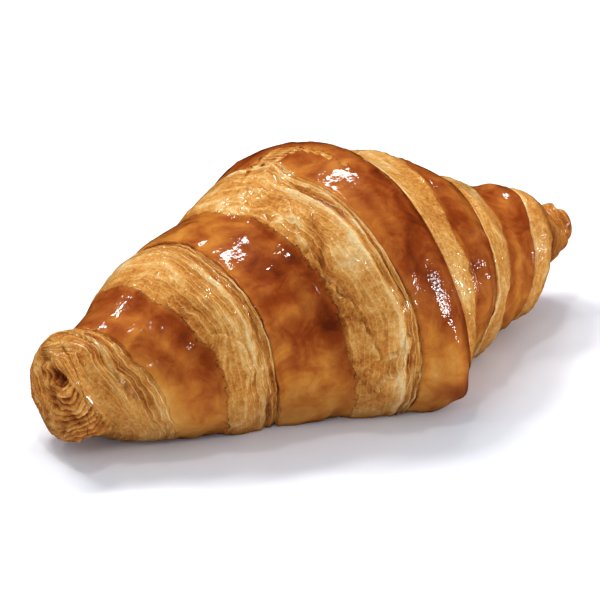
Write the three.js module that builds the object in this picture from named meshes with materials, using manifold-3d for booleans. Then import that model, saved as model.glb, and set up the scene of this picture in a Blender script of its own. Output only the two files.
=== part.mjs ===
// A straight all-butter croissant: one rolled triangle of laminated dough, baked into a spindle.
// It lies along X with its belly on the ground plane, +Z up, the tongue to the front (-Y), in mm.
// The dough was rolled from the wide side of a triangle to its tongue, so towards each end the
// edges of the triangle make a spiral. Each wrap has a smooth brown crust, whose rim drops over
// a pale, puffed cut edge, and the cut edge ends at a foot on the crust of the next wrap out.
import * as THREE from "three";
import { mergeVertices } from "three/addons/utils/BufferGeometryUtils.js";
import Module from "manifold-3d";

// Overall size, and the plain roll before the wraps are added.
const END_LEFT = -81.5;
const END_RIGHT = 81;
const HALF_LENGTH = 80; // the curves below are given over this length
const HALF_WIDTH = 42.65;
const HEIGHT = 57.1;
const PRESSED_FLAT = 9; // how far the round underside would reach below the tray
const BELLY_SQUARENESS = 2.45; // 2 is an ellipse, more is fuller above the tray
const ROUNDER_ENDS = 0.26; // the roll is flatter in the middle than at its ends

// The ends curl up off the tray and a little to the front.
const LIFT = { left: 8.8, right: 16.3 };
const LIFT_POWER = { left: 1.93, right: 2.2 };
const BEND = { left: 5, right: 3 };
const BEND_POWER = 2.5;

// Girth along the roll: place along X, share of the full width and height.
const GIRTH = [
  [-78, 0.3],
  [-68, 0.353],
  [-58, 0.496],
  [-50, 0.594],
  [-42, 0.676],
  [-33, 0.743],
  [-25, 0.798],
  [-16, 0.881],
  [-8, 0.969],
  [8, 0.989],
  [18, 0.891],
  [28, 0.859],
  [38, 0.708],
  [51, 0.537],
  [62, 0.439],
  [68, 0.345],
  [71.5, 0.295],
  [74, 0.195],
  [77, 0.16],
];

// Where the two spirals cross X at each quarter turn: bottom, back, top, front and so on.
const QUARTERS_BEFORE_TOP = 2;
const LEFT_RIM = [-84, -77, -68, -60, -53, -47, -39.5, -33, -25, -16, -8.5, 0, 3];
const LEFT_FOOT = [-90, -84, -76.5, -72.5, -69, -63, -56.8, -47.8, -41, -34, -25, -17, -12];
const RIGHT_RIM = [84, 76, 64.9, 52.8, 49, 46.5, 42.5, 32.5, 30, 23, 12.4, 15.8, 19];
const RIGHT_FOOT = [92, 85, 75, 72, 70, 65, 53, 41.6, 40, 37, 28, 22, 23];
const WRAPS = [2, 1, 0]; // whole turns, from the outermost wrap to the one at the end

// Relief of the wraps, in mm: half the climb from foot to rim, the puff of the cut edge,
// and the dip in which the rim of the crust lies.
const STEP = { left: [0.8, 1, 1.15], right: [0.9, 0.9, 1] };
const CLIMB_POWER = 2.4;
const PUFF = 0.7;
const RIM_DIP = { left: 0.35, right: 0.75 };
const RIM_DIP_WIDTH = 3;
const SETTLE_POWER = 1.4;

// Places where the dough spread or drew in against the tray: along X, angle from the top in
// degrees towards the front, height of the swelling in mm, and its reach both ways.
const SPREAD = [
  { x: 11, angle: 109, height: 7.2, along: 10, around: 24 },
  { x: -31, angle: 114, height: -4, along: 9, around: 24 },
  { x: 31, angle: 114, height: -3.4, along: 7, around: 24 },
];

// The coiled ends: where the rounding starts, pitch and relief of the layers, and the pit.
const COIL_START = { left: -77.5, right: 76.5 };
const COIL_SQUARENESS = { left: 0.5, right: 0.75 };
const COIL_PITCH = { left: 4.2, right: 3.4 };
const COIL_RELIEF = 0.4;
const PIT_DEPTH = 2.2;
const PIT_REACH = 0.26;
const PIT = { left: { front: -0.1, up: 0.25 }, right: { front: 0.1, up: 0.1 } };

// Fineness of the faceted surface: points around, rings in each end, and rings in each band
// between two edges from left to right. The rings follow the edges down to the tray.
const AROUND = 54;
const END_RINGS = 10;
const BAND_RINGS = [1, 8, 5, 10, 6, 10, 10, 8, 6, 8, 5, 8, 1];
const TRAY_ANGLE = 120;
const FADE_FROM = 66;
const FADE_TO = 77;

const TURN = 2 * Math.PI;
const clamp = (v, low, high) => Math.min(high, Math.max(low, v));
const mix = (a, b, share) => a + (b - a) * share;
const sideOf = (x) => (x < 0 ? "left" : "right");

function smooth(v, from, to) {
  const s = clamp((v - from) / (to - from), 0, 1);
  return s * s * (3 - 2 * s);
}

// Smooth curve through stations of [place, value].
function curve(stations, place) {
  const last = stations.length - 1;
  const slope = (i) => {
    const [a, b] = [stations[Math.max(i - 1, 0)], stations[Math.min(i + 1, last)]];
    return (b[1] - a[1]) / (b[0] - a[0]);
  };
  const at = clamp(place, stations[0][0], stations[last][0]);
  const found = stations.findLastIndex((station) => station[0] <= at);
  const i = Math.min(found, last - 1);
  const [[x0, y0], [x1, y1]] = [stations[i], stations[i + 1]];
  const span = x1 - x0;
  const s = (at - x0) / span;
  const bow = s * (1 - s) * ((1 - s) * slope(i) - s * slope(i + 1)) * span;
  return mix(y0, y1, smooth(s, 0, 1)) + bow;
}

const perQuarter = (values) => values.map((value, i) => [(i - QUARTERS_BEFORE_TOP) / 4, value]);
const perTurn = (values) => values.map((value, i) => [i, value]);
const SPIRALS = {
  left: { rim: perQuarter(LEFT_RIM), foot: perQuarter(LEFT_FOOT), step: perTurn(STEP.left) },
  right: { rim: perQuarter(RIGHT_RIM), foot: perQuarter(RIGHT_FOOT), step: perTurn(STEP.right) },
};

// Unevenness of a hand-rolled edge, in mm.
const waver = (turn) => 0.5 * Math.sin(17.3 * turn + 0.5) + 0.3 * Math.sin(41 * turn + 2);

// Rim, foot and step of one wrap at one angle around the roll.
function wrapEdge(side, wrap, angle) {
  const spiral = SPIRALS[side];
  const hand = side === "left" ? -1 : 1;
  const turn = angle / TURN + wrap;
  return {
    rim: curve(spiral.rim, turn) + waver(turn + hand),
    foot: curve(spiral.foot, turn) + waver(1.3 * turn - hand),
    step: curve(spiral.step, turn),
  };
}

// Height of the wraps over the plain roll, in mm.
function wrapRelief(x, angle) {
  const tongue = ["left", "right"].map((side) => wrapEdge(side, WRAPS[0], angle).rim);
  const side = x < (tongue[0] + tongue[1]) / 2 ? "left" : "right";
  const hand = side === "left" ? -1 : 1;
  let inner = null;
  for (const wrap of WRAPS) {
    const edge = wrapEdge(side, wrap, angle);
    const dip = RIM_DIP[side] * Math.exp(-(((x - edge.rim) / RIM_DIP_WIDTH) ** 2));
    if (hand * x <= hand * edge.rim) {
      if (!inner) return edge.step - dip;
      const down = clamp((x - edge.rim) / (inner.foot - edge.rim), 0, 1);
      return mix(edge.step, -inner.step, down ** SETTLE_POWER) - dip;
    }
    if (hand * x <= hand * edge.foot) {
      const share = clamp((edge.foot - x) / (edge.foot - edge.rim), 0, 1);
      const climbed = 1 - (1 - share) ** CLIMB_POWER;
      return mix(-edge.step, edge.step, climbed) + PUFF * Math.sin(Math.PI * share) - dip;
    }
    inner = edge;
  }
  return -inner.step;
}

// Slow unevenness of the dough, in mm.
function swelling(x, angle) {
  const long = 0.5 * Math.sin(0.11 * x + 1.3) * Math.cos(2 * angle + 0.05 * x);
  return long + 0.35 * Math.sin(0.23 * x - 3 * angle + 0.7);
}

// How far the dough spread against the tray, in mm.
function spreading(x, angle) {
  const degrees = (angle / TURN) * 360;
  return SPREAD.reduce((sum, place) => {
    const along = (x - place.x) / place.along;
    const around = (degrees - place.angle) / place.around;
    return sum + place.height * Math.exp(-(along ** 2) - around ** 2);
  }, 0);
}

// Relief of a coiled end. reach runs from 0 at the middle of the face to 1 at its rim.
function coilRelief(side, reach, angle, radius) {
  const pit = PIT[side];
  const front = reach * Math.sin(angle) - pit.front;
  const up = reach * Math.cos(angle) - pit.up;
  const from = Math.hypot(front, up);
  const winding = Math.atan2(front, up) / TURN;
  const coil = Math.cos(TURN * ((from * radius) / COIL_PITCH[side] - winding));
  const shown = smooth(from, 0.15, 0.4) * smooth(reach, 1, 0.8);
  return COIL_RELIEF * coil * shown - PIT_DEPTH * Math.exp(-((from / PIT_REACH) ** 2));
}

// Fuller than an ellipse where the belly meets the tray.
function bellyShare(angle, ends) {
  if (Math.cos(angle) >= 0) return 1;
  const n = mix(2, BELLY_SQUARENESS, smooth(ends, 0.95, 0.6));
  return (Math.abs(Math.sin(angle)) ** n + Math.abs(Math.cos(angle)) ** n) ** (-1 / n);
}

// One point of the surface. Angle 0 is the top, a quarter turn on is the front (-Y).
// reach is 1 along the roll and 0 at the middle of an end; facing is 0 and then -1 or 1.
function surfacePoint({ x, reach, facing }, angle) {
  const side = sideOf(x);
  const ends = Math.abs(x) / HALF_LENGTH;
  const share = curve(GIRTH, x);
  const tall = (HEIGHT + PRESSED_FLAT) / 2;
  const middle = (tall - PRESSED_FLAT) * share + LIFT[side] * ends ** LIFT_POWER[side];
  const across = HALF_WIDTH * share;
  const upright = tall * share * (1 + ROUNDER_ENDS * ends ** 4);
  const belly = bellyShare(angle, ends) * reach;
  const wraps = (wrapRelief(x, angle) + swelling(x, angle)) * reach ** 4;
  const coil = reach < 1 ? coilRelief(side, reach, angle, across) : 0;
  const relief = wraps + spreading(x, angle) + coil;
  const outward = Math.sqrt(1 - facing * facing) * relief;
  return new THREE.Vector3(
    x + facing * relief,
    -BEND[side] * ends ** BEND_POWER - (across * belly + outward) * Math.sin(angle),
    middle + (upright * belly + outward) * Math.cos(angle),
  );
}

// The edges across the roll at one angle, from left to right, between the two ends.
function edgesAt(angle) {
  const outwards = (side) =>
    WRAPS.flatMap((wrap) => {
      const { rim, foot } = wrapEdge(side, wrap, angle);
      return [rim, foot];
    });
  return [...outwards("left").reverse(), ...outwards("right")];
}

// A ring that starts at the top of the roll follows the edges down both sides to the tray.
function ringPlace(start, angle) {
  const knots = edgesAt(0);
  const moved = edgesAt(angle);
  const found = knots.findLastIndex((knot) => knot <= start);
  const i = clamp(found, 0, knots.length - 2);
  const share = clamp((start - knots[i]) / (knots[i + 1] - knots[i]), 0, 1);
  const followed = mix(moved[i], moved[i + 1], share) - mix(knots[i], knots[i + 1], share);
  const tray = (TRAY_ANGLE / 360) * TURN;
  const kept = smooth(Math.abs(angle), Math.PI, tray) * smooth(Math.abs(start), FADE_TO, FADE_FROM);
  const least = mix(COIL_START.left, start, 0.3);
  const most = mix(COIL_START.right, start, 0.3);
  return clamp(start + followed * kept, least, most);
}

// Where the rings of the body start, closer together in the cut edges than in the crust.
function ringStarts() {
  const bounds = [COIL_START.left, ...edgesAt(0), COIL_START.right];
  const starts = BAND_RINGS.flatMap((count, band) =>
    Array.from({ length: count }, (_, i) => mix(bounds[band], bounds[band + 1], i / count)),
  );
  return [...starts, COIL_START.right];
}

// The rings of an end, from the middle of its face outwards.
function endRings(side) {
  const start = COIL_START[side];
  const end = side === "left" ? END_LEFT : END_RIGHT;
  return Array.from({ length: END_RINGS }, (_, i) => {
    const turned = ((i + 0.5) / END_RINGS) * (TURN / 4);
    return {
      x: mix(start, end, Math.cos(turned)),
      reach: Math.sin(turned) ** COIL_SQUARENESS[side],
      facing: Math.sign(end) * Math.cos(turned),
    };
  });
}

// The closed surface: rings joined by quads, with one point at the middle of each end.
function rolledDough() {
  const angles = Array.from({ length: AROUND }, (_, j) => (j / AROUND) * TURN - Math.PI);
  const body = ringStarts().map((start) =>
    angles.map((angle) => surfacePoint({ x: ringPlace(start, angle), reach: 1, facing: 0 }, angle)),
  );
  const end = (side) => endRings(side).map((ring) => angles.map((angle) => surfacePoint(ring, angle)));
  const rings = [...end("left"), ...body, ...end("right").reverse()];
  const poles = [END_LEFT, END_RIGHT].map((x) => surfacePoint({ x, reach: 0, facing: Math.sign(x) }, 0));
  const at = (ring, j) => ring * AROUND + (j % AROUND);
  const last = rings.length - 1;
  const leftPole = rings.length * AROUND;
  const rightPole = leftPole + 1;
  const faces = [];
  for (let j = 0; j < AROUND; j++) {
    faces.push(leftPole, at(0, j + 1), at(0, j));
    faces.push(rightPole, at(last, j), at(last, j + 1));
    for (let i = 0; i < last; i++) {
      faces.push(at(i, j), at(i + 1, j + 1), at(i + 1, j));
      faces.push(at(i, j), at(i, j + 1), at(i + 1, j + 1));
    }
  }
  return new THREE.BufferGeometry().setFromPoints([...rings.flat(), ...poles]).setIndex(faces);
}

const wasm = await Module();
wasm.setup();

function toSolid(geometry) {
  const bare = geometry.clone();
  bare.deleteAttribute("normal");
  bare.deleteAttribute("uv");
  const merged = mergeVertices(bare);
  const vertProperties = merged.attributes.position.array;
  const triVerts = new Uint32Array(merged.index.array);
  return new wasm.Manifold(new wasm.Mesh({ numProp: 3, vertProperties, triVerts }));
}

function toGeometry(solid) {
  const mesh = solid.getMesh();
  const geometry = new THREE.BufferGeometry();
  geometry.setAttribute("position", new THREE.BufferAttribute(mesh.vertProperties, 3));
  geometry.setIndex(new THREE.BufferAttribute(mesh.triVerts, 1));
  return geometry.toNonIndexed();
}

// The tray presses the underside flat.
const below = new THREE.BoxGeometry(HALF_LENGTH * 3, HALF_WIDTH * 3, HEIGHT);
below.translate(0, 0, -HEIGHT / 2);
const baked = toGeometry(toSolid(rolledDough()).subtract(toSolid(below)));

// The middle of the box stands over the origin.
baked.computeBoundingBox();
const middle = baked.boundingBox.getCenter(new THREE.Vector3());
baked.translate(-middle.x, -middle.y, 0);
baked.computeVertexNormals();

const crust = new THREE.MeshStandardMaterial({ color: 0xb87333, roughness: 0.38, metalness: 0 });
const croissant = new THREE.Mesh(baked, crust);
croissant.name = "croissant";

const group = new THREE.Group();
group.add(croissant);
export default group;
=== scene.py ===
import math

import bpy
import numpy as np
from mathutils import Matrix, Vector


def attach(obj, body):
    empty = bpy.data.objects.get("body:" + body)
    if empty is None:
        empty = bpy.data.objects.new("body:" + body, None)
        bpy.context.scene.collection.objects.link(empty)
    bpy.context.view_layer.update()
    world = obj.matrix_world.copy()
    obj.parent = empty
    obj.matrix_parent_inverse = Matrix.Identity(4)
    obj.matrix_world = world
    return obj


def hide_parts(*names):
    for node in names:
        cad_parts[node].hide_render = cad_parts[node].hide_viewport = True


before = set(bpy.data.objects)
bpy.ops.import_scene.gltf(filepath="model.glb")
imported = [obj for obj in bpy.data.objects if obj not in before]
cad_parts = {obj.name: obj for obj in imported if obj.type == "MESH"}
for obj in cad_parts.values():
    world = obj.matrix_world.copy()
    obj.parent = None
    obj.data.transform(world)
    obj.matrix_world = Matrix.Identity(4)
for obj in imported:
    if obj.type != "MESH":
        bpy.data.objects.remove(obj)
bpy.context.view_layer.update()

MM = 0.001
TURN = 2 * np.pi
SIDES = {"left": -1, "right": 1}
FAR = 99.0  # mm, further than any edge reaches

# The roll: mm along X, and angles round it from its top, where 90 degrees is the front.
END = {"left": -81.5, "right": 81}
HALF_LENGTH = 80
HALF_WIDTH = 42.65
HEIGHT = 57.1
PRESSED_FLAT = 9
BELLY_SQUARENESS = 2.45
ROUNDER_ENDS = 0.26
LIFT = {"left": 8.8, "right": 16.3}
LIFT_POWER = {"left": 1.93, "right": 2.2}
BEND = {"left": 5, "right": 3}
BEND_POWER = 2.5
GIRTH = [
    (-78, 0.3), (-68, 0.353), (-58, 0.496), (-50, 0.594), (-42, 0.676), (-33, 0.743),
    (-25, 0.798), (-16, 0.881), (-8, 0.969), (8, 0.989), (18, 0.891), (28, 0.859),
    (38, 0.708), (51, 0.537), (62, 0.439), (68, 0.345), (71.5, 0.285), (74, 0.225), (77, 0.19),
]
MIDDLE = (0.2515, 2.698)  # the middle of the box stands over the origin

# Where the two spirals cross X at each quarter turn, from half a turn before the top.
QUARTERS_BEFORE_TOP = 2
RIM = {
    "left": [-84, -77, -68, -60, -53, -47, -39.5, -33, -25, -16, -8.5, 0, 3],
    "right": [84, 76, 63.2, 52.8, 49, 46.5, 40.5, 32, 30, 23, 12.4, 15.8, 19],
}
FOOT = {
    "left": [-90, -84, -76.5, -72.5, -69, -63, -56.8, -47.8, -41, -34, -25, -17, -12],
    "right": [88, 77, 71, 65.5, 65, 65, 53, 42.6, 40, 37, 28, 22, 23],
}
WRAPS = [2, 1, 0]
STEP = {"left": [0.8, 1, 1.15], "right": [0.9, 0.9, 1]}
CLIMB_POWER = 2.4
PUFF = 0.7
RIM_DIP = {"left": 0.35, "right": 0.75}
RIM_DIP_WIDTH = 3
# Where a rim juts out or draws in: the turn, over how many turns, and mm along X.
RIM_JUT = {"left": (1.968, 0.03, 2.4), "right": (1.12, 0.08, -2.0)}
SETTLE_POWER = 1.4
EDGE_RADIUS = 25  # mm, to measure the length of an edge round the roll
# Where the dough spread or drew in on the tray: x, angle, height, reach along X and around.
SPREAD = [(11, 109, 7.2, 10, 24), (-31, 114, -4, 9, 24), (31, 114, -3.4, 7, 24), (66, 105, -1.6, 9, 35)]

# The coiled ends.
COIL_START = {"left": -77.5, "right": 76.5}
COIL_SQUARENESS = {"left": 0.5, "right": 0.75}
COIL_PITCH = {"left": 4.2, "right": 3.4}
COIL_LAYER_PITCH = 1.15
COIL_RELIEF = 0.4
COIL_LAYER_STEP = 1.2
PIT_DEPTH = 2.2
PIT_REACH = 0.26
PIT = {"left": (-0.1, 0.25), "right": (0.1, 0.1)}

# The left end's open face is turned to the front: its top, the pit in it, and the directions
# across it, down it and out of it. Its places are in mm across and down from its top.
FACE_TOP = np.array([-80.6, -7.3, 25.8])
FACE_PIT = np.array([-81.0, -8.9, 23.2])
FACE_AXES = np.array([[0.83, -0.56, 0], [-0.23, -0.34, -0.91], [-0.51, -0.755, 0.41]])
FACE_MIDDLE_DOWN = 10.8
FACE_HALF_HIGH = 11.5
FACE_RIGHT = 0.6
FACE_RIGHT_SLANT = 0.8
FACE_SLANTS_DOWN_TO = 16
FACE_BULGE = 9.5
FACE_BULGES_DOWN_TO = 7
FACE_NEST_BESIDE_PIT = 1.2  # mm from the pit to what the layers nest round
FACE_LAYER_PITCH = 1.2
FACE_PIT_RADIUS = 1.7
FACE_BEGINS = (-64, -69)  # x where the face starts to show, and where it shows in full
ARCH_WIDE = 8
ARCH_HIGH = 3.4

# The end of the outermost wrap, called the tongue: its edge, as an angle at each place along X.
TONGUE_EDGE = [(-12, -9.3), (-6.1, -9.3), (-1.5, -8.4), (0.2, 3.2), (2.1, 11.3), (6, 21)]
TONGUE_RIGHT = 9
TONGUE_DEGREE = 0.7  # mm round the roll in one degree
TONGUE_LIFT = 0.4
TONGUE_STEP = 0.8

# Folds of the wide cut edge beside the tongue: x and angle of their points, half width, height
# and how much paler they are.
# Beside each fold runs a dent with a line of painted shade in the colour.
FOLDS = [
    ([(-18.6, 38), (-17.5, 56), (-15, 67), (-12.4, 86), (-10.7, 93)], 0.45, 1.15, 0.6),
    ([(-25, -40), (-20.9, -28), (-18.8, -12), (-16.3, -3), (-15.4, 5), (-16.5, 19), (-18, 24)],
     0.45, 0.4, -0.5),
    ([(-23, -10), (-21, 3), (-18.4, 9), (-18.8, 18)], 0.6, 0.45, 0.6),
    ([(-25, -12), (-23, 2), (-20.8, 8), (-21.5, 20)], 0.5, 0.4, 0.6),
    ([(-15.5, 10), (-16.2, 18), (-18, 26), (-18.5, 34)], 0.5, 0.5, 0.7),
    ([(-12, -30), (-11.5, -5), (-12.5, 14)], 0.5, 0.3, 0.3),
    ([(-14, 22), (-15.5, 34), (-17, 44)], 0.5, 0.35, -0.6),
    ([(-9, 94), (-6.5, 93), (-4.5, 92), (-3.8, 86)], 0.5, 1.2, 0.9),
    ([(-13.6, 102), (-12.2, 107), (-10.2, 111)], 0.6, 0.8, -0.8),
    ([(-10.4, 110), (-8.3, 104.6), (-5.3, 103.5)], 0.5, 1.1, 0.9),
    ([(-47, 58), (-43.5, 64), (-41, 74), (-40, 88)], 0.5, 0.6, 0.6),
    ([(-38, 50), (-39, 62), (-37.5, 74), (-38.5, 90)], 0.5, 0.4, 0.6),
]
# Dents and swellings: x, angle, height, reach along X and around, and how much paler.
DENTS = [
    (-11.8, 75, -1.0, 3.4, 13, -0.15), (-5.6, 80, 0.45, 1.7, 13, 0.8), (-3.2, 100, -0.7, 1.4, 6, -1.2),
    (11.3, 112, 1.8, 3.5, 4.5, 0), (-8.5, 99, -1.5, 2.6, 5, -0.5), (-61, 31, 0.5, 2.2, 5, 0),
    (-30.6, 45, 0.5, 2.6, 4, 0), (-27.8, 59, 0.5, 2.4, 4, 0), (-25, 33, 0.5, 2.4, 4, 0),
]

# The open layers.
# Real layers are 0.3 to 0.5 mm thick. Their edges are drawn this many mm apart, as coarse as
# the render needs to show them.
LAYER_PITCH = 1.2
MEAN_RADIUS = 0.85  # of the roll's half width, because it is less high than wide
NEXT_WRAP = 61  # mm between the patterns of two wraps, so that they differ
# Ledges beside the rim: mm from the rim, half width and height.
LEDGES = {"left": [(0.5, 0.3, 0.3), (2.3, 0.45, 0.5), (4.7, 0.75, 0.45)], "right": [(0.9, 0.6, 0.2)]}

# How far each part baked before its own patches: 0 is pale dough and 1 is dark mahogany.
BAKED = {
    "crust": 0.33, "crust at a foot": 0.41, "left layers": 0.45, "right layers": 0.37,
    "open end": 0.45, "face": 0.66, "hollow": 0.4, "right coil": 0.6, "behind tongue": 0.36,
}
# Where it browned more or less than around: x, angle, amount, reach along X and around. The first entry
# darkens the tongue's lower corner: browned crust there, deepened by painted shade under the corner.
BROWNING_AND_SHADE = [
    (10.5, 111.5, 0.75, 4.5, 4.5), (8, 97, -0.24, 7, 11), (10, 20, 0.1, 9, 22), (-42, 65, -0.16, 7, 20),
    (-12, 98, 0.1, 7, 20), (24, 20, 0.12, 6, 30), (-61, 31, -0.25, 2.2, 5), (-30.6, 45, -0.2, 3, 4),
    (-27.8, 59, -0.2, 3, 4), (-25, 34, 0.2, 4, 6), (40, 40, 0.12, 5, 40), (55, 40, 0.1, 5, 40),
    (66, 60, 0.16, 4, 60), (-20, 60, 0.17, 9, 40), (-70, 60, 0.08, 6, 50), (-55, 70, 0.06, 8, 40),
    (-33, 55, 0.06, 7, 40),
]
# Near the tray the colour turns duller: painted bounce light from the pale floor.
PAINTED_BOUNCE = 0.42  # how much duller it is at the tray
PAINTED_BOUNCE_UP_TO = 20

# Fineness of the skin: points around, rings in each end, and rings in each band from left to
# right, where each crust and each cut edge is a band.
AROUND = 286
CLOSER_AHEAD = 0.35  # points crowd together round the angle that shows most
SHOWS_MOST = 30
END_RINGS = {"left": 38, "right": 16}
CLOSER_AT_RIM = 1.35
BAND_RINGS = [4, 24, 14, 40, 18, 48, 26, 30, 18, 26, 14, 18, 14]
# The rings follow the edges down to this angle, and let go of them between these mm along X.
TRAY_ANGLE = 120
FADE = (66, 77)

# What the finish reads at each point of the mesh.
POINT_VALUES = ("baked", "count", "along", "cut", "lined", "grainy", "painted_bounce")


# Shares, curves and repeatable random patterns.
def smooth(value, low, high):
    """0 at low and 1 at high with a soft start and end, where low may be the greater."""
    share = np.clip((value - low) / (high - low), 0, 1)
    return share * share * (3 - 2 * share)


def mix(start, end, share):
    return start + (end - start) * share


def bell(off, width):
    """1 at 0, falling off softly over the width on both sides."""
    return np.exp(-((off / width) ** 2))


def fade(off, reach):
    """1 at 0, falling off at once over the reach on both sides."""
    return np.exp(-np.abs(off) / reach)


def curve(stations, place):
    """A smooth curve through (place, value) stations."""
    xs, ys = np.array(stations, float).T
    last = len(xs) - 1
    before = np.maximum(np.arange(last + 1) - 1, 0)
    after = np.minimum(np.arange(last + 1) + 1, last)
    slope = (ys[after] - ys[before]) / (xs[after] - xs[before])
    place = np.clip(place, xs[0], xs[-1])
    low = np.clip(np.searchsorted(xs, place, side="right") - 1, 0, last - 1)
    high = low + 1
    span = xs[high] - xs[low]
    share = (place - xs[low]) / span
    bow = share * (1 - share) * ((1 - share) * slope[low] - share * slope[high]) * span
    return mix(ys[low], ys[high], smooth(share, 0, 1)) + bow


def scatter(seed, *lattice):
    """A repeatable random number from 0 to 1 for each lattice point."""
    mixed = np.full(np.broadcast(*lattice).shape, seed, np.uint32)
    for axis, prime in zip(lattice, (374761393, 668265263, 2246822519)):
        mixed = mixed ^ (axis.astype(np.int64).astype(np.uint32) * np.uint32(prime))
        mixed = (mixed ^ (mixed >> np.uint32(15))) * np.uint32(2654435761)
    return (mixed ^ (mixed >> np.uint32(13))).astype(float) / 2**32


def lumps(seed, *coords):
    """Smooth random waves from -1 to 1, one lump to each unit of the coordinates."""
    coords = np.broadcast_arrays(*coords)
    cells = [np.floor(coord) for coord in coords]
    shares = [smooth(coord - cell, 0, 1) for coord, cell in zip(coords, cells)]
    total = 0
    for corner in range(2 ** len(coords)):
        step = [(corner >> axis) & 1 for axis in range(len(coords))]
        weight = 1
        for up, share in zip(step, shares):
            weight = weight * (share if up else 1 - share)
        total = total + weight * scatter(seed, *[cell + up for cell, up in zip(cells, step)])
    return 2 * total - 1


def layer_level(turns):
    """Each layer's own level from 0 to 1, and the share of the layer that lies behind."""
    layer = np.floor(turns)
    share = turns - layer
    return mix(scatter(27, layer), scatter(27, layer + 1), smooth(share, 0.5, 1)), share


def hump(x, angle, place, centre, along, around):
    """A rounded hump on the roll; its angle is in degrees and wraps round the roll."""
    off = (np.degrees(angle) - centre + 180) % 360 - 180
    return np.exp(-(((x - place) / along) ** 2) - (off / around) ** 2)


# The plain roll.
def belly_share(angle, ends):
    """Fuller than an ellipse where the belly meets the tray."""
    square = mix(2, BELLY_SQUARENESS, smooth(ends, 0.95, 0.6))
    across, upright = np.abs(np.sin(angle)), np.abs(np.cos(angle))
    fuller = (np.maximum(across, 1e-9) ** square + upright**square) ** (-1 / square)
    return np.where(np.cos(angle) < 0, fuller, 1)


def plain_roll(x, reach, facing, angle):
    """Half the roll's width at each place, and what sets a relief in mm on it there."""
    ends = np.abs(x) / HALF_LENGTH
    girth = curve(GIRTH, x)
    tall = (HEIGHT + PRESSED_FLAT) / 2
    lifts = [LIFT[side] * ends ** LIFT_POWER[side] for side in SIDES]
    lift = np.where(x < 0, *lifts)
    bend = np.where(x < 0, BEND["left"], BEND["right"]) * ends**BEND_POWER
    middle = (tall - PRESSED_FLAT) * girth + lift
    across = HALF_WIDTH * girth
    upright = tall * girth * (1 + ROUNDER_ENDS * ends**4)
    belly = belly_share(angle, ends) * reach

    def placed(relief):
        outward = np.sqrt(1 - facing**2) * relief
        return np.stack([
            x + facing * relief,
            -bend - (across * belly + outward) * np.sin(angle),
            middle + (upright * belly + outward) * np.cos(angle),
        ], -1)

    return across, placed


def swelling(x, angle):
    """The slow unevenness of dough rolled by hand, within 1 mm."""
    long = 0.5 * np.sin(0.11 * x + 1.3) * np.cos(2 * angle + 0.05 * x)
    return long + 0.35 * np.sin(0.23 * x - 3 * angle + 0.7)


def spreading(x, angle):
    """Where the dough spread or drew in on the tray."""
    return sum(high * hump(x, angle, place, centre, along, around)
               for place, centre, high, along, around in SPREAD)


# The wraps.
def at_quarters(values):
    """Each value with its turn, one at each quarter turn."""
    return [((quarter - QUARTERS_BEFORE_TOP) / 4, value) for quarter, value in enumerate(values)]


def waver(turn):
    """The waves of an edge rolled by hand, 0.5 mm and 0.3 mm high."""
    return 0.5 * np.sin(17.3 * turn + 0.5) + 0.3 * np.sin(41 * turn + 2)


def wrap_edge(side, wrap, angle):
    """Rim, foot and step of one wrap, with the unevenness of hand-rolled dough."""
    hand = SIDES[side]
    turn = angle / TURN + wrap
    # Ragged edges: notches 6 mm and 2 mm long at the foot, shallower ones at the rim.
    length = turn * TURN * EDGE_RADIUS
    ragged = 0.6 * lumps(3 + hand, length / 6) + 0.2 * lumps(5 + hand, length / 2.2)
    nicked = 0.18 * lumps(7 + hand, length / 2.2) + 0.3 * lumps(9 + hand, length / 7)
    jut_turn, jut_wide, jut = RIM_JUT[side]
    rim = curve(at_quarters(RIM[side]), turn) + waver(turn + hand) + nicked
    rim = rim + jut * bell(turn - jut_turn, jut_wide)
    foot = curve(at_quarters(FOOT[side]), turn) + waver(1.3 * turn - hand) + ragged
    return rim, foot, curve(list(enumerate(STEP[side])), turn)


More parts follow.
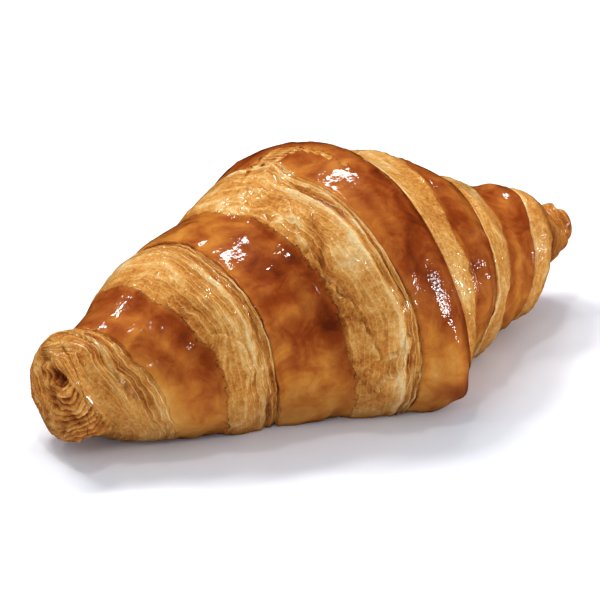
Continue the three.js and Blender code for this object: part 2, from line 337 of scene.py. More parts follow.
def wrap_relief(x, angle):
    """Height of the wraps over the plain roll, and where each point lies on its wrap."""
    rims = [wrap_edge(side, WRAPS[0], angle)[0] for side in SIDES]
    on_left = x < (rims[0] + rims[1]) / 2
    zero = np.zeros(x.shape)
    made = {
        "x": x,
        "angle": angle,
        "on_left": on_left,
        "height": zero,
        "layered": zero,  # 1 on the pale cut edge, 0 on the crust
        "share": zero,  # on the cut edge: 0 at the foot, 1 at the rim
        "across": zero,  # mm from the rim; on the crust it is negative
        "below": zero + FAR,  # on the crust: mm from the foot that lies on it
        "wrap": zero,
        "width": zero + 1,  # on the cut edge: mm across it
        "over": zero,  # on the crust: mm across the cut edge that lies on it
        "tip": zero,  # 1 beyond the last foot, where the layers lie open
    }

    def lay(here, **values):
        for name, value in values.items():
            made[name] = np.where(here, value, made[name])

    for side, hand in SIDES.items():
        free = on_left if side == "left" else ~on_left
        inner = None
        for wrap in WRAPS:
            rim, foot, step = wrap_edge(side, wrap, angle)
            from_rim = hand * (x - rim)
            dip = RIM_DIP[side] * bell(x - rim, RIM_DIP_WIDTH)
            on_crust = free & (hand * x <= hand * rim)
            lay(on_crust, height=step - dip, layered=0, across=from_rim, wrap=wrap)
            if inner:
                inner_rim, inner_foot, inner_step = inner
                down = np.clip((x - rim) / (inner_foot - rim), 0, 1)
                lay(on_crust, height=mix(step, -inner_step, down**SETTLE_POWER) - dip,
                    below=hand * (x - inner_foot), over=np.abs(inner_foot - inner_rim))
            free = free & ~on_crust
            on_edge = free & (hand * x <= hand * foot)
            share = np.clip((foot - x) / (foot - rim), 0, 1)
            climbed = mix(-step, step, 1 - (1 - share) ** CLIMB_POWER)
            lay(on_edge, height=climbed + PUFF * np.sin(np.pi * share) - dip, layered=1,
                share=share, across=from_rim, wrap=wrap, width=np.abs(foot - rim))
            free = free & ~on_edge
            inner = rim, foot, step
        lay(free, height=-step, layered=0, across=-FAR, tip=1, below=hand * (x - foot))
    made["from_foot"] = made["share"] * made["width"]
    return made


# Relief of the crust and of the open layers.
def ledges_at(across, along, on_left, seeds):
    """Ledges and the grooves between them, near the rim of a cut edge: height and paleness."""
    height, pale = 0 * across, 0 * across
    for side, rows in LEDGES.items():
        here = on_left if side == "left" else ~on_left
        for row, (place, half_width, high) in enumerate(rows):
            wander = 0.45 * lumps(51 + row, along / 14, seeds) + 0.12 * lumps(61 + row, along / 3, seeds)
            off = across - (place + wander)
            shown = smooth(lumps(71 + row, along / 17, seeds), -0.7, 0.1)
            crest = bell(off, half_width) * shown
            groove = bell(off + 1.9 * half_width, half_width) * shown
            height = height + np.where(here, high * (crest - 0.6 * groove), 0)
            pale = pale + np.where(here, crest - 0.8 * groove, 0)
    return height, pale


def layer_edges(made, radius):
    """The layers of a cut edge: ledges near the rim, then ridges, folds and crumbs to the foot."""
    wrap, on_left, x = made["wrap"], made["on_left"], made["x"]
    along = made["angle"] * radius * MEAN_RADIUS + NEXT_WRAP * wrap
    # The pattern runs on over the crust for 6 mm beyond a foot.
    near_foot = (made["layered"] < 1) & (made["below"] < 6)
    across = np.where(near_foot, made["over"] + made["below"], made["across"])
    seeds = np.where(on_left, 0, 40) + 7 * wrap

    # The layers meander, and each has its own level and curls up at its edge.
    meander = lumps(11, along / 21 + seeds, across / 9) + 0.45 * lumps(12, along / 7 + seeds, across / 4)
    count = (across + meander) / LAYER_PITCH
    layer = np.floor(count)
    share = count - layer

    def level(number):
        return lumps(13, number + 20 * seeds, along / 26) + 0.5 * lumps(17, number + 20 * seeds, along / 8)

    steps = mix(level(layer), level(layer + 1), smooth(share, 0.6, 1))
    curl = smooth(share, 0.1, 0.55) * (1 - smooth(share, 0.62, 0.9))

    # Their lines show at the rim, in patches, and all over towards the left end.
    near_rim = bell(across, 4.2)
    patch = smooth(lumps(19, along / 13 + seeds, across / 6), 0.0, 0.7)
    lined = np.clip(0.32 + 0.8 * near_rim + 0.45 * patch + 0.5 * smooth(-x, 60, 70), 0, 1)
    lined = lined * np.where(on_left, 1, 0.3)

    # Ridges 3.4 mm apart branch off along the edge, with streaks 1.7 mm apart between them.
    branch = 1 - np.abs(lumps(20, (across + 2.2 * meander) / 3.4, along / 15, seeds))
    crest = branch**5 * (1 - 0.7 * near_rim)
    streak = (1 - np.abs(lumps(37, (across + 1.5 * meander) / 1.7, along / 6, seeds))) ** 4
    streak = streak * smooth(lumps(38, along / 12, across / 8, seeds), -0.4, 0.3) * (1 - 0.8 * near_rim)

    # Crinkles of 2.6 mm in patches, crumbs of 1.1 mm that are coarser at the foot, and sags.
    fold = 1 - 2 * np.abs(lumps(14, (across + 0.4 * meander) / 2.6, along / 3.8, seeds))
    crinkled = smooth(lumps(15, along / 15 + seeds, across / 9), -0.2, 0.5)
    crumbs = lumps(18, across / 1.1, along / 1.4, seeds) * (0.1 + 0.16 * bell(made["from_foot"], 2.2))
    sag = lumps(25, across / 5, along / 9, seeds)
    ledge, pale = ledges_at(across, along, on_left, seeds)
    stepped = 0.45 * lined * (steps + 0.2 * curl) * (0.35 + 0.65 * near_rim)
    relief = stepped + 0.38 * crest + 0.3 * streak + ledge + 0.22 * fold * crinkled + crumbs + 0.35 * sag
    made.update(along=along, count=count, lined=lined, pale=pale)
    made.update(steps=steps * lined, crest=crest + 0.6 * streak)
    return relief


def crust_wrinkles(x, around):
    """Low blisters and the soft ripples in which the crust follows the layers below."""
    blister = smooth(lumps(21, x / 4.6, around / 5.2), 0.2, 0.9)
    small = smooth(lumps(24, x / 1.9, around / 2.1), 0.35, 0.9)
    ripple = lumps(22, x / 3.1, around / 19)
    fine = lumps(23, x / 1.1, around / 1.3)
    return 0.42 * blister + 0.08 * small + 0.22 * ripple + 0.02 * fine


def skin_relief(made, radius):
    """Relief of the skin over its wraps: a lip at each rim, and a bead where a foot settled."""
    x, across, from_foot = made["x"], made["across"], made["from_foot"]
    layered = made["layered"] > 0
    wrinkle = crust_wrinkles(x, made["angle"] * radius)
    ridge = mix(wrinkle, layer_edges(made, radius), smooth(from_foot, 0, 2.5))
    lip = 0.32 * fade(across, 0.7)
    crevice = 0.5 * fade(across - 0.3, 0.3)
    to_foot = np.minimum(np.abs(made["below"]), from_foot + FAR * ~layered)
    settled = 0.45 * bell(to_foot, 1.3) - 0.1 * fade(to_foot, 0.5) * smooth(x, -74, -70)
    made["to_foot"] = to_foot
    return np.where(layered, ridge * smooth(across, 0, 0.4) - crevice, wrinkle + lip) + settled


def from_line(points, x, around):
    """mm from a bent line through (x, angle) points, and the same with a sign for its sides."""
    bends = np.array([(px, np.radians(turned) * HALF_WIDTH * curve(GIRTH, px)) for px, turned in points])
    nearest, offset = np.full(x.shape, FAR), np.full(x.shape, FAR)
    for (x0, y0), (x1, y1) in zip(bends, bends[1:]):
        wide, high = x1 - x0, y1 - y0
        share = np.clip(((x - x0) * wide + (around - y0) * high) / (wide**2 + high**2), 0, 1)
        away = np.hypot(x - mix(x0, x1, share), around - mix(y0, y1, share))
        side = np.sign((x - x0) * high - (around - y0) * wide)
        offset = np.where(away < nearest, away * side, offset)
        nearest = np.minimum(nearest, away)
    return nearest, offset


def folded(x, angle, radius):
    """Height and paleness that the folds and dents add; the paleness holds a line of painted shade beside
    each fold.
    """
    height, pale = 0 * x, 0 * x
    around = angle * radius
    uneven = 0.5 * lumps(28, x / 3, around / 3) + 0.25 * lumps(29, x / 1.2, around / 1.4)
    for points, half_width, high, paler in FOLDS:
        nearest, offset = from_line(points, x, around)
        crest = bell(offset + uneven, half_width)
        # Beside each crest: a dent, and a line of painted shade in the colour.
        shade = bell(offset + uneven - 1.7 * half_width, half_width) * (nearest < 4)
        height = height + high * (crest - 0.35 * shade)
        pale = pale + paler * crest - 0.25 * shade
    for place, centre, high, along, wide, paler in DENTS:
        dent = hump(x, angle, place, centre, along, wide)
        height = height + high * dent
        pale = pale + paler * dent
    return height, pale


# The ends.
def coil_relief(side, reach, angle, radius):
    """The coiled face of an end, and its turns: reach is 0 at its middle and 1 at its rim."""
    to_front, up = PIT[side]
    front, high = reach * np.sin(angle) - to_front, reach * np.cos(angle) - up
    away = np.hypot(front, high)
    winding = np.arctan2(front, high) / TURN
    coil = np.cos(TURN * (away * radius / COIL_PITCH[side] - winding))
    turns = away * radius / COIL_LAYER_PITCH - winding + 0.5 * lumps(26, front * 3, high * 3)
    level, _ = layer_level(turns)
    shown = smooth(away, 0.15, 0.4) * smooth(reach, 1, 0.8)
    relief = (COIL_RELIEF * coil + COIL_LAYER_STEP * (level - 0.5)) * shown
    return relief - PIT_DEPTH * bell(away, PIT_REACH), turns


def open_face(point, near):
    """The layers on the open face, which widens downwards, and the roll that arches over it."""
    across, down, depth = np.moveaxis((point - FACE_TOP) @ FACE_AXES.T, -1, 0)
    shown = smooth(depth, -9, -5) * near  # it doesn't show through on the roll's far side
    right_edge = FACE_RIGHT_SLANT * np.clip(down, 0, FACE_SLANTS_DOWN_TO) + FACE_RIGHT
    left_edge = -FACE_BULGE * np.sqrt(np.clip(down / FACE_BULGES_DOWN_TO, 0.02, 1))
    wide = (across - (right_edge + left_edge) / 2) / ((right_edge - left_edge) / 2)
    high = (down - FACE_MIDDLE_DOWN) / FACE_HALF_HIGH
    out = (np.abs(wide) ** 3 + np.abs(high) ** 3) ** (1 / 3)
    inside = smooth(out, 1.05, 0.95) * shown

    # Beyond its right edge lies a hollow, and the roll arches round that: 1 along its crest.
    beyond = across - right_edge
    arch = np.hypot(np.clip(beyond, 0, None) / ARCH_WIDE, np.clip(-down, 0, None) / ARCH_HIGH)
    hollow = bell(arch - 0.5, 0.28) * smooth(beyond, 0, 2) * smooth(down, -3, 4) * shown
    crest = bell(arch - 1.02, 0.1) * shown

    # The layers nest round the pit, each on its own level, curled and crumpled.
    pit_across, pit_down, _ = np.moveaxis((point - FACE_PIT) @ FACE_AXES.T, -1, 0)
    from_pit = np.hypot(0.7 * pit_across, np.where(pit_down < 0, 1.8, 1) * pit_down)
    uneven = 0.8 * lumps(26, across / 6, down / 6) + 0.4 * lumps(36, across / 2.4, down / 3)
    nested = np.hypot(pit_across - FACE_NEST_BESIDE_PIT, 0.85 * pit_down)
    turns = nested / FACE_LAYER_PITCH + uneven
    level, share = layer_level(turns)
    curl = smooth(share, 0.05, 0.5) * (1 - smooth(share, 0.6, 0.95))
    crumpled = lumps(40, across / 1.7, down / 1.3) + 0.6 * lumps(41, across / 0.9, down / 0.8)
    layers = inside * (1.3 * (level - 0.5) + 0.35 * curl + 0.42 * crumpled - 0.2)
    relief = layers + 0.9 * crest - 1.0 * hollow - PIT_DEPTH * bell(from_pit, FACE_PIT_RADIUS) * shown
    # Lines run along the arch, and what lies under the face is covered by it.
    return relief, {
        "inside": inside, "hollow": hollow, "rolled": crest, "from_pit": from_pit, "turns": turns,
        "raised": 0.8 * curl + (level - 0.5) + 0.5 * crumpled, "arcs": 7 * arch + 0.5 * uneven,
        "arched": smooth(arch, 1.45, 1.3) * shown, "covered": smooth(out, 1.35, 0.8) * shown,
    }


def open_layers_at_ends(made, turns):
    """At the ends the layers lie open and their count follows the coil."""
    x = made["x"]
    from_coil = np.where(x < 0, x - COIL_START["left"], COIL_START["right"] - x)
    wound = turns + np.maximum(from_coil, 0) / COIL_LAYER_PITCH
    made["count"] = np.where(made["at_end"], wound, made["count"])
    made["lined"] = np.where(made["at_end"], np.where(x < 0, 0.9, 0.5), made["lined"])


def open_layers_on_face(made, near):
    """On the left end's face the count follows its own layers, and over it the arch."""
    inside, hollow, arched = made["inside"], made["hollow"], made["arched"]
    made["count"] = np.where(arched > 0.5, made["arcs"], made["count"])
    made["count"] = np.where(inside > 0.5, made["turns"], made["count"])
    # No lines are drawn in the narrow seams where one count gives way to another.
    seam = bell(inside - 0.5, 0.3) + bell(arched - 0.5, 0.3) * (1 - inside)
    seam = np.clip(seam + bell(made["to_foot"], 0.6) * near, 0, 1)
    made["lined"] = mix(made["lined"], 0.6, inside) * (1 - 0.85 * hollow) * (1 - seam)


# The end of the tongue.
def tongue_end(made):
    """Relief in mm of its lifted edge, and of the step behind it where its own layers show."""
    x, angle = made["x"], made["angle"]
    edge = np.interp(x, *np.array(TONGUE_EDGE).T)
    behind = np.where(x < TONGUE_RIGHT, (edge - np.degrees(angle)) * TONGUE_DEGREE, -FAR)
    tucked = smooth(behind, 0, 0.4) * smooth(behind, 12, 8) * (1 - smooth(x, 1, 5)) * smooth(x, -17, -15)
    lifted = (1 - made["layered"]) * fade(behind, 0.7) * (behind < 0) * smooth(np.abs(x + 1), 9, 6)
    made["tucked"] = tucked
    return TONGUE_LIFT * lifted - TONGUE_STEP * tucked


# The whole surface.
def cut_share(made):
    """1 on the open layers and 0 on the crust, which runs out over the foot of a cut edge."""
    open_layers = smooth(made["from_foot"], -0.5, 3.6) * (0.55 + 0.45 * smooth(made["across"], 0, 0.3))
    open_layers = np.where(made["wrap"] > 0, open_layers, 1)
    specks = 0.16 * fade(made["below"], 1.2)
    share = np.where(made["layered"] > 0, np.maximum(open_layers, 0.16), specks)
    all_open = made["at_end"] | (made["inside"] > 0.3) | (made["hollow"] > 0.3)
    return np.where(all_open, 1.1, np.maximum(share, 0.75 * made["tucked"]))


def surface(x, reach, facing, angle):
    """Points of the surface in mm, and what the finish needs to know about each."""
    radius, placed = plain_roll(x, reach, facing, angle)
    made = wrap_relief(x, angle)
    detail = skin_relief(made, radius)
    fold_height, fold_pale = folded(x, angle, radius)
    made["pale"] = made["pale"] + fold_pale
    ends = [coil_relief(side, reach, angle, radius) for side in SIDES]
    coils, turns = (np.where(x < 0, *pair) for pair in zip(*ends))
    made["at_end"] = (reach < 1) | (made["tip"] > 0)
    open_layers_at_ends(made, turns)
    wraps = (made["height"] + swelling(x, angle) + detail) * reach**4
    relief = wraps + spreading(x, angle) + np.where(reach < 1, coils, 0) + fold_height

    # The open face at the left end takes the place of the plain wraps there.
    near = smooth(x, *FACE_BEGINS)
    face_relief, face = open_face(placed(0 * relief), near)
    made.update(face)
    open_layers_on_face(made, near)
    relief = relief * (1 - 0.8 * face["covered"]) * (1 - 0.7 * face["hollow"]) + face_relief
    relief = relief + tongue_end(made)
    made["cut"] = cut_share(made)
    return placed(relief), made


# The rings of the skin.
def edges_at(angle):
    """The edges across the roll from left to right, one row for each."""
    rows = []
    for side in SIDES:
        side_rows = []
        for wrap in WRAPS:
            rim, foot, _ = wrap_edge(side, wrap, angle)
            side_rows += [rim, foot]
        rows += side_rows[::-1] if side == "left" else side_rows
    return np.array(rows)


def body_rings(angles):
    """Places along X of the body's rings. They follow the edges down to the tray."""
    knots = edges_at(np.zeros(1))[:, 0]
    bounds = np.array([COIL_START["left"], *knots, COIL_START["right"]])
    starts = []
    for band, (low, high, count) in enumerate(zip(bounds, bounds[1:], BAND_RINGS)):
        share = np.arange(count) / count
        if band % 2 == 0:  # a crust
            share = (share + smooth(share, 0, 1)) / 2
        elif band < len(BAND_RINGS) // 2:  # a cut edge with its rim at the right
            share = 1 - (1 - share) ** CLOSER_AT_RIM
        else:
            share = share**CLOSER_AT_RIM
        starts.extend(mix(low, high, share))
    starts = np.array([*starts, COIL_START["right"]])
    moved = edges_at(angles)
    left = np.clip(np.searchsorted(knots, starts, side="right") - 1, 0, len(knots) - 2)
    right = left + 1
    share = np.clip((starts - knots[left]) / (knots[right] - knots[left]), 0, 1)[:, None]
    at_top = mix(knots[left], knots[right], share[:, 0])[:, None]
    moves = mix(moved[left], moved[right], share) - at_top
    follows = smooth(np.abs(angles), np.pi, np.radians(TRAY_ANGLE))[None]
    follows = follows * smooth(np.abs(starts), FADE[1], FADE[0])[:, None]
    least = mix(COIL_START["left"], starts, 0.3)[:, None]
    most = mix(COIL_START["right"], starts, 0.3)[:, None]
    return np.clip(starts[:, None] + moves * follows, least, most)


def end_rings(side, angles):
    """Rings from the middle of an end to its rim: place along X, reach, and how far it faces out."""
    turned = (np.arange(END_RINGS[side]) + 0.5) / END_RINGS[side] * np.pi / 2
    x = mix(COIL_START[side], END[side], np.cos(turned))
    reach = np.sin(turned) ** COIL_SQUARENESS[side]
    facing = SIDES[side] * np.cos(turned)
    return [values[:, None] + 0 * angles for values in (x, reach, facing)]


def whole_surface():
    """The rings from the left end to the right end, and the point at the middle of each end."""
    even = np.arange(AROUND) / AROUND * TURN - np.pi
    ahead = np.radians(SHOWS_MOST)
    angles = even - CLOSER_AHEAD * np.sin(even - ahead) - CLOSER_AHEAD * np.sin(ahead)
    body = body_rings(angles)
    left = end_rings("left", angles)
    right = [values[::-1] for values in end_rings("right", angles)]
    plain = (body, np.ones(body.shape), np.zeros(body.shape))
    x, reach, facing = (np.concatenate(parts) for parts in zip(left, plain, right))
    points, made = surface(x, reach, facing, angles + 0 * x)
    poles = []
    for side, hand in SIDES.items():
        pole, _ = surface(np.array([END[side]], float), np.zeros(1), np.array([float(hand)]), np.zeros(1))
        poles.append(pole[0])
    return points, np.array(poles), made


# How far each place baked.
def baked_crust(made, patchy, around, high):
    """Raised crust browns most, the tongue more, and the crust beside a rim differs by side."""
    banded = lumps(34, made["across"] / 2.4, around / 26, made["wrap"])
    tongue = smooth(made["wrap"], 1.5, 2) * (1 - made["layered"])
    crust = BAKED["crust"] + 0.26 * high + 0.14 * tongue + 0.24 * patchy + 0.1 * banded
    crust = crust + 0.08 * fade(made["below"], 1.8)
    return crust + np.where(made["on_left"], -0.16, 0.14) * fade(made["across"], 2.6)


def baked_layers(made, patchy, high):
    """The open layers stay paler, most of all on what stands out from them."""
    from_foot = made["from_foot"]
    layers = np.where(made["on_left"], BAKED["left layers"], BAKED["right layers"])
    # The paleness also holds the painted shade beside the folds.
    layers = layers + 0.16 * patchy - 0.12 * made["steps"] - 0.3 * made["crest"] - 0.3 * made["pale"]
    layers = layers + 0.14 * fade(from_foot, 2.5)
    at_foot = BAKED["crust at a foot"] + 0.26 * high + 0.24 * patchy
    return mix(at_foot, layers, smooth(from_foot, 0, 3))


def baking(points, made):
    """0 is pale dough and 1 is dark mahogany."""
    z, x, angle = points[..., 2], made["x"], made["angle"]
    around = angle * HALF_WIDTH * curve(GIRTH, x)
    high = smooth(z, 6, 30)
    patchy = 0.5 * lumps(31, x / 17, around / 14) + 0.4 * lumps(32, x / 8, around / 7)
    patchy = patchy + 0.25 * lumps(33, x / 3.5, around / 3.5)
    crust = baked_crust(made, patchy, around, high)
    baked = np.where(made["layered"] > 0, baked_layers(made, patchy, high), crust)
    open_end = np.maximum(smooth(-x, 70, 74), made["tip"])
    baked = mix(baked, BAKED["open end"] + 0.2 * patchy, open_end)
    # Darker in and round the pit on the face: painted shade in its depth.
    face = BAKED["face"] + 0.2 * patchy - 0.34 * made["raised"] + 0.35 * bell(made["from_pit"], 2.6)
    baked = mix(baked, face, made["inside"])
    baked = mix(baked, BAKED["hollow"] + 0.16 * patchy, 0.9 * made["hollow"]) - 0.1 * made["rolled"]
    baked = mix(baked, BAKED["right coil"] + 0.2 * patchy, made["tip"] * (x > 0))
    streaks = BAKED["behind tongue"] + 0.35 * lumps(35, x / 3.2, around / 1.4)
    baked = mix(baked, streaks, 0.8 * made["tucked"])
    # Browned and paler patches, and painted shade under the tongue's lower corner.
    for place, centre, amount, along, wide in BROWNING_AND_SHADE:
        baked = baked + amount * hump(x, angle, place, centre, along, wide)
    return np.clip(baked + 0.3 * smooth(z, 2.5, 0), 0, 1)


# The finish.
MATH = "ShaderNodeMath"
MIX = "ShaderNodeMix"
NOISE = "ShaderNodeTexNoise"
RAMP = "ShaderNodeValToRGB"
CRUST_TONES = [
    (0.0, "#f2ca80"), (0.2, "#e1a558"), (0.4, "#cd8439"), (0.58, "#b2642c"),
    (0.76, "#964417"), (1.0, "#66250c"),
]
LAYER_TONES = [
    (0.0, "#ffeabd"), (0.2, "#f6c988"), (0.4, "#e4a75a"), (0.6, "#c8833d"),
    (0.8, "#a05826"), (1.0, "#682d11"),
]
# The dull tone painted near the tray as bounce light from the floor.
PAINTED_BOUNCE_TONE = "#9c6a45"
# Across a layer: a brown groove, its plain tone, and the cream line in which it ends.
LINE_TONES = [(0.0, "#202020"), (0.14, "#707070"), (0.62, "#8c8c8c"), (0.86, "#ffffff"), (1.0, "#404040")]
FINE_LINE_TONES = [(0.0, "#505050"), (0.4, "#808080"), (0.75, "#d0d0d0"), (1.0, "#505050")]
FLAKE_MM = (0.7, 4)  # across the layers and along them
FINE_LINES_IN_A_LAYER = 2.3
OWN_TONE_MM = 18  # along a layer, from one tone to the next
NEXT_LAYER = 3.7  # lumps of the pattern between two layers, so that their tones differ
# Depth in mm of the relief that is too fine for the mesh.
ROLLING_DEEP = 0.13
PEBBLES_DEEP = 0.13
LINES_DEEP = 0.24
CRUMBS_DEEP = 0.7


def linear(code):
    """An sRGB hex colour as linear light."""
    parts = [int(code[first:first + 2], 16) / 255 for first in (1, 3, 5)]
    light = [part / 12.92 if part <= 0.04045 else ((part + 0.055) / 1.055) ** 2.4 for part in parts]
    return (*light, 1)


def feed(node, inputs):
    """Gives each input of a node another node's output or a fixed value."""
    for name, given in inputs.items():
        if isinstance(given, bpy.types.NodeSocket):
            node.id_data.links.new(given, node.inputs[name])
        else:
            node.inputs[name].default_value = given


def put(tree, kind, inputs, output=0, stops=(), **settings):
    """Adds one node with its inputs, settings and colour stops, and gives one of its outputs."""
    node = tree.nodes.new(kind)
    for name, value in settings.items():
        setattr(node, name, value)
    feed(node, inputs)
    while stops and len(node.color_ramp.elements) < len(stops):
        node.color_ramp.elements.new(0.5)
    for number, (place, code) in enumerate(stops):
        node.color_ramp.elements[number].position = place
        node.color_ramp.elements[number].color = linear(code)
    return node.outputs[output]


def vary(tree, tone, pattern, share):
    """tone + (pattern - 0.5) * share, so that it stays as dark on the whole."""
    centred = put(tree, MATH, {0: pattern, 1: 0.5}, operation="SUBTRACT")
    return put(tree, MATH, {0: centred, 1: share, 2: tone}, operation="MULTIPLY_ADD")


def grains(size_mm, detail=2.0, roughness=0.5):
    """Noise settings for lumps of this width, in the object's own coordinates."""
    return {"Scale": 1 / (size_mm * MM), "Detail": detail, "Roughness": roughness}


def start_material(name):
    material = bpy.data.materials.new(name)
    material.use_nodes = True
    return material, material.node_tree, material.node_tree.nodes["Principled BSDF"]


def dough_patterns(tree):
    """What the mesh knows about each point, and the patterns that the finish shares."""
    dough = {name: put(tree, "ShaderNodeAttribute", {}, "Fac", attribute_name=name) for name in POINT_VALUES}
    place = put(tree, "ShaderNodeTexCoord", {}, "Object")
    # Flakes 0.7 mm across the layers and 4 mm along them, blotches of 7 mm, and crumbs, which are
    # finer in the real one and are drawn 1.1 mm wide to show.
    lanes = put(tree, MATH, {0: dough["count"], 1: LAYER_PITCH / FLAKE_MM[0]}, operation="MULTIPLY")
    along = put(tree, MATH, {0: dough["along"], 1: 1 / FLAKE_MM[1]}, operation="MULTIPLY")
    flake_place = put(tree, "ShaderNodeCombineXYZ", {"X": lanes, "Y": along})
    flakes = put(tree, NOISE, {"Vector": flake_place, "Scale": 1, "Detail": 4, "Roughness": 0.65,
                               "Distortion": 0.6})
    crumbs = put(tree, NOISE, {"Vector": place, **grains(1.1, 3, 0.6)})
    # How open the layers are, with a ragged border.
    border = put(tree, NOISE, {"Vector": place, **grains(2.2, 5, 0.65)})
    ragged = vary(tree, dough["cut"], border, 1.3)
    return dough | {
        "place": place,
        "patches": put(tree, NOISE, {"Vector": place, **grains(7, 5, 0.62), "Distortion": 0.8}),
        "waver": put(tree, NOISE, {"Vector": place, **grains(4, 3)}),
        "grain": put(tree, MIX, {0: dough["lined"], 2: crumbs, 3: flakes}, data_type="FLOAT"),
        "opened": put(tree, "ShaderNodeMapRange", {"Value": ragged, "From Min": 0.42, "From Max": 0.54},
                      interpolation_type="SMOOTHSTEP"),
    }


def layer_lines(tree, dough):
    """Each layer ends in a cream line over a brown groove: this line, and all lines together."""
    wavering = vary(tree, dough["count"], dough["waver"], 1.2)
    line = put(tree, RAMP, {"Fac": put(tree, MATH, {0: wavering}, operation="FRACT")}, stops=LINE_TONES)
    # A second set of lines runs closer together.
    closer = put(tree, MATH, {0: dough["count"], 1: FINE_LINES_IN_A_LAYER}, operation="MULTIPLY")
    closer = put(tree, MATH, {0: vary(tree, closer, dough["waver"], 3.5)}, operation="FRACT")
    fine_line = put(tree, RAMP, {"Fac": closer}, stops=FINE_LINE_TONES)
    # Each layer's own tone changes over 18 mm along it.
    layer = put(tree, MATH, {0: wavering}, operation="FLOOR")
    lane = put(tree, MATH, {0: layer, 1: NEXT_LAYER}, operation="MULTIPLY")
    stretched = put(tree, MATH, {0: dough["along"], 1: 1 / OWN_TONE_MM}, operation="MULTIPLY")
    lane_place = put(tree, "ShaderNodeCombineXYZ", {"X": lane, "Y": stretched})
    own_tone = put(tree, NOISE, {"Vector": lane_place, "Scale": 1, "Detail": 2})
    lines = 0
    for pattern, share in ((own_tone, 0.45), (line, -0.56), (fine_line, -0.14)):
        lines = vary(tree, lines, pattern, share)
    return line, lines


def dough_colour(tree, dough, lines):
    """The colour of the open layers, of the crust, and of both near the tray, where painted bounce light
    from the floor dulls it.
    """
    speckles = put(tree, NOISE, {"Vector": dough["place"], **grains(0.45)})
    tone = put(tree, MATH, {0: lines, 1: dough["lined"], 2: dough["baked"]}, operation="MULTIPLY_ADD")
    for pattern, share in ((dough["patches"], 0.55), (dough["grain"], 0.85), (speckles, 0.4)):
        tone = vary(tree, tone, pattern, share)
    layer_colour = put(tree, RAMP, {"Fac": tone}, stops=LAYER_TONES)

    # Blotches of 7 mm and flecks of 1.3 mm in the crust.
    flecks = put(tree, NOISE, {"Vector": dough["place"], **grains(1.3, 3)})
    mottled = vary(tree, dough["baked"], dough["patches"], 0.8)
    crust_colour = put(tree, RAMP, {"Fac": vary(tree, mottled, flecks, 0.14)}, stops=CRUST_TONES)
    both = put(tree, MIX, {0: dough["opened"], 6: crust_colour, 7: layer_colour}, 2, data_type="RGBA")
    # Near the tray it turns duller: painted bounce light from the pale floor.
    return put(tree, MIX, {0: dough["painted_bounce"], 6: both, 7: linear(PAINTED_BOUNCE_TONE)}, 2, data_type="RGBA")


def fine_relief(tree, dough, line):
    """Relief too fine for the mesh, as it lies under the gloss and on the dry layers."""
    place, opened = dough["place"], dough["opened"]
    # The gloss rolls over 2.6 mm and is pebbled over 0.7 mm where the wash dried in grains.
    rolling = put(tree, NOISE, {"Vector": place, **grains(2.6)})
    pebbles = put(tree, NOISE, {"Vector": place, **grains(0.7, 1.5)})
    pebbles = put(tree, MATH, {0: pebbles, 1: dough["grainy"]}, operation="MULTIPLY")
    lines = put(tree, MATH, {0: line, 1: dough["lined"]}, operation="MULTIPLY")
    lines = put(tree, MATH, {0: lines, 1: opened}, operation="MULTIPLY")
    crumbs = put(tree, MATH, {0: dough["grain"], 1: opened}, operation="MULTIPLY")
    normals = []
    for height, deep in ((rolling, ROLLING_DEEP), (pebbles, PEBBLES_DEEP), (lines, LINES_DEEP),
                         (crumbs, CRUMBS_DEEP)):
        under = {"Normal": normals[-1]} if normals else {}
        bump = {"Height": height, "Strength": 1, "Distance": deep * MM, **under}
        normals.append(put(tree, "ShaderNodeBump", bump))
    return normals[2], normals[3]


def baked_dough_material():
    # Butter dough baked brown. The crust is egg-washed: clear, wet gloss over blotchy amber to
    # mahogany. Where layers are open it is dry and pale gold, in fine cream lines and crumbs.
    material, tree, shader = start_material("egg_washed_crust_and_open_layers")
    dough = dough_patterns(tree)
    line, lines = layer_lines(tree, dough)
    gloss_normal, dry_normal = fine_relief(tree, dough, line)
    opened = dough["opened"]
    feed(shader, {
        "Base Color": dough_colour(tree, dough, lines),
        "Normal": dry_normal,
        "Coat Normal": gloss_normal,
        "Roughness": put(tree, "ShaderNodeMapRange", {"Value": opened, "To Min": 0.4, "To Max": 0.42}),
        "Coat Weight": put(tree, "ShaderNodeMapRange", {"Value": opened, "To Min": 0.9, "To Max": 0.75}),
        "Coat Roughness": 0.04,
        "Coat IOR": 1.5,
        "Coat Tint": linear("#fff0d0"),
        "IOR": 1.45,
        "Specular IOR Level": 0.08,
        "Subsurface Weight": 0.1,
        "Subsurface Radius": (1, 0.5, 0.25),
        "Subsurface Scale": 1.2 * MM,
    })
    return material


# The mesh.
def new_piece(name, points, faces, material):
    """A mesh from points in metres, set in the scene."""
    mesh = bpy.data.meshes.new(name)
    mesh.from_pydata(points, [], faces)
    mesh.materials.append(material)
    piece = bpy.data.objects.new(name, mesh)
    bpy.context.scene.collection.objects.link(piece)
    return piece


def closed_faces(rings, around):
    """Quads between the rings, and a fan of triangles at each end, all facing out."""
    point = np.arange(around)
    after = (point + 1) % around
    here = np.arange(rings - 1)[:, None] * around
    ahead = here + around
    quads = np.stack([ahead + point, ahead + after, here + after, here + point], -1).reshape(-1, 4)
    left_pole = np.full(around, rings * around)
    last = (rings - 1) * around
    left_fan = np.stack([point, after, left_pole], -1)
    right_fan = np.stack([last + after, last + point, left_pole + 1], -1)
    return quads.tolist() + left_fan.tolist() + right_fan.tolist()


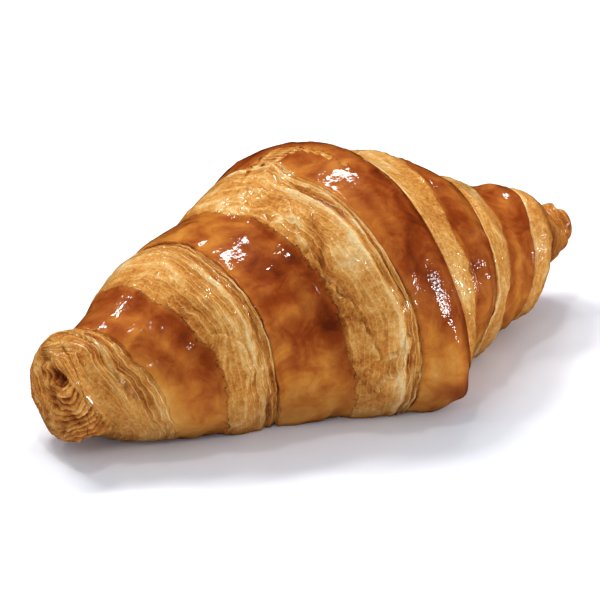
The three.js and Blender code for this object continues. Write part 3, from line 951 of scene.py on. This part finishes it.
def build_croissant():
    points, poles, made = whole_surface()
    made["baked"] = baking(points, made)
    # Painted bounce light from the floor: how far the colour turns duller near the tray.
    made["painted_bounce"] = PAINTED_BOUNCE * smooth(points[..., 2], PAINTED_BOUNCE_UP_TO, 1)
    # The egg wash dried in grains on the front of the right half.
    made["grainy"] = 0.2 + 0.8 * smooth(made["angle"], 0.5, 0.9) * smooth(made["x"], -5, 5)
    skin = np.concatenate([points.reshape(-1, 3), poles]) + [*MIDDLE, 0]
    skin[:, 2] = np.maximum(skin[:, 2], 0)
    piece = new_piece("croissant_baked", (skin * MM).tolist(), closed_faces(*points.shape[:2]),
                      baked_dough_material())
    mesh = piece.data
    mesh.update()
    for name in POINT_VALUES:
        values = made[name]
        with_poles = np.append(values.ravel(), [values[0].mean(), values[-1].mean()])
        attribute = mesh.attributes.new(name, "FLOAT", "POINT")
        attribute.data.foreach_set("value", with_poles.astype(np.float32))
    mesh.polygons.foreach_set("use_smooth", np.ones(len(mesh.polygons), bool))
    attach(piece, "root")
    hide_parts("croissant")


# The studio.
FLOOR_HALF = 4.0  # m
# Azimuth and elevation in degrees, m away, width and height in m, and watts. The key is too
# wide to be mirrored: the crust mirrors the narrow lamps beside it.
LAMPS = {
    "back_key": (-170, 58, 0.9, 0.3, 0.15, 4.0),
    "back_strip": (146, 60, 0.9, 0.25, 0.065, 1.5),
    "back_left_strip": (-165, 36, 0.9, 0.12, 0.045, 0.65),
    "right_softbox": (53, 12, 0.8, 0.09, 0.11, 1.8),
    "top_spot": (-105, 82, 0.9, 0.09, 0.06, 0.9),
    "front_spot": (-52, 40, 0.9, 0.05, 0.04, 0.28),
}
LAMPS_AIM = Vector((0, 0, 0.03))
NOT_MIRRORED = "back_key"
ROOM_COLOUR = "#e6efff"
ROOM_LIGHT = 0.67
CAMERA_FROM = (-34.16, 24.16)
CAMERA_AWAY_MM = 469.97
CAMERA_TARGET_MM = Vector((*MIDDLE, 29))
SENSOR_WIDTH = 36
LENS = 108
LENS_SHIFT = (-0.03175, -0.06637)


def studio_floor():
    # Plain pale studio paper: matte and nearly white, with a faint tooth.
    material, tree, shader = start_material("studio_paper")
    place = put(tree, "ShaderNodeTexCoord", {}, "Object")
    tooth = put(tree, NOISE, {"Vector": place, **grains(9)})
    tone = put(tree, RAMP, {"Fac": tooth}, stops=[(0.0, "#f4f4f4"), (1.0, "#fafafa")])
    feed(shader, {"Base Color": tone, "Roughness": 0.9})
    corners = [(-1, -1), (1, -1), (1, 1), (-1, 1)]
    points = [(FLOOR_HALF * x, FLOOR_HALF * y, 0) for x, y in corners]
    floor = new_piece("studio_floor", points, [(0, 1, 2, 3)], material)
    floor.visible_glossy = False


def direction(azimuth, elevation):
    """Azimuth 0 is the front (-Y) and 90 is +X, in degrees."""
    turned, raised = math.radians(azimuth), math.radians(elevation)
    level = math.cos(raised)
    return Vector((math.sin(turned) * level, -math.cos(turned) * level, math.sin(raised)))


def aim(thing, towards, location):
    thing.location = location
    thing.rotation_mode = "QUATERNION"
    thing.rotation_quaternion = towards.to_track_quat("Z", "Y")
    bpy.context.scene.collection.objects.link(thing)


def studio_light():
    for name, (azimuth, elevation, away, wide, high, watts) in LAMPS.items():
        light = bpy.data.lights.new(name, "AREA")
        light.shape = "RECTANGLE"
        light.size = wide
        light.size_y = high
        light.energy = watts
        lamp = bpy.data.objects.new(name, light)
        lamp.visible_glossy = name != NOT_MIRRORED
        towards = direction(azimuth, elevation)
        aim(lamp, towards, towards * away + LAMPS_AIM)
    world = bpy.data.worlds.new("pale_room")
    world.use_nodes = True
    feed(world.node_tree.nodes["Background"], {"Color": linear(ROOM_COLOUR), "Strength": ROOM_LIGHT})
    bpy.context.scene.world = world
    world.cycles_visibility.glossy = False


def camera():
    data = bpy.data.cameras.new("camera")
    data.sensor_width = SENSOR_WIDTH
    data.lens = LENS
    data.shift_x, data.shift_y = LENS_SHIFT
    data.clip_end = 20
    view = bpy.data.objects.new("camera", data)
    back = direction(*CAMERA_FROM)
    aim(view, back, (CAMERA_TARGET_MM + back * CAMERA_AWAY_MM) * MM)
    bpy.context.scene.camera = view


build_croissant()
studio_floor()
studio_light()
camera()
bpy.context.scene.view_settings.view_transform = "Standard"
